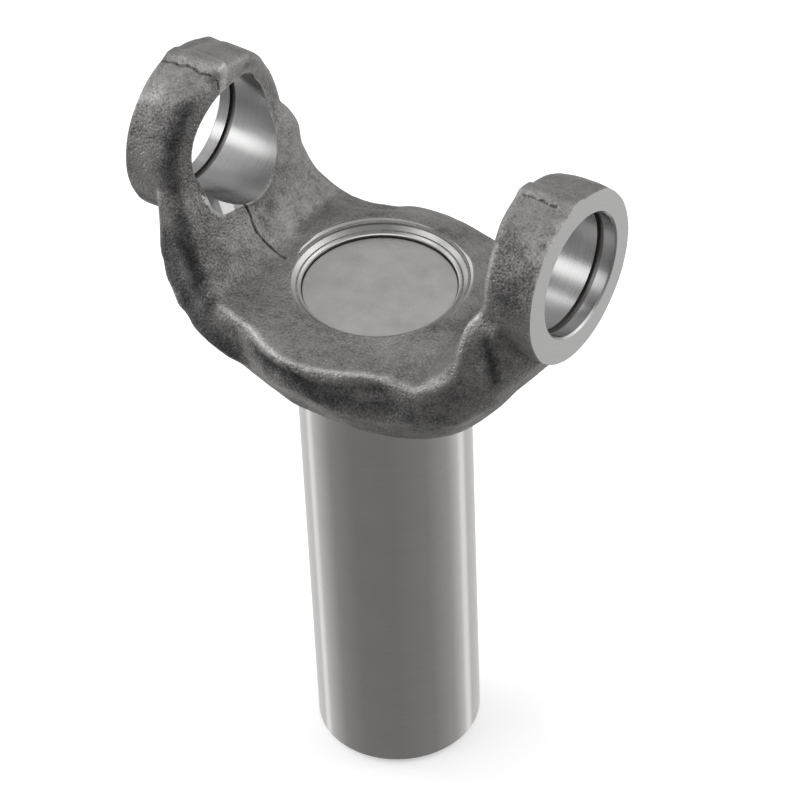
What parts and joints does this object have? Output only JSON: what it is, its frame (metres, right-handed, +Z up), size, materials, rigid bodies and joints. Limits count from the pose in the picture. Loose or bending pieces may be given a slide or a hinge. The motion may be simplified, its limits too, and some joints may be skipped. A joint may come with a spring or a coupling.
{
  "type": "driveshaft slip yoke",
  "caption": "Forged steel slip yoke: splined barrel, saddle-shaped base with a pressed-in sealing plug, and arms ending in bored ears for a universal joint.",
  "frame": {"origin": "centre of the barrel's open end, where the splined bore starts", "axes": "+Z up the barrel to the ears, X along the shared axis of the two ear bores"},
  "size_m": [0.1012, 0.0601, 0.1734],
  "materials": {
    "forged_steel": "shot-blasted forged skin with machined faces and bores",
    "plug_steel": "matt pressed sheet"
  },
  "bodies": {
    "root": {"forged_yoke": "forged_steel", "sealing_plug": "plug_steel"}
  },
  "joints": []
}
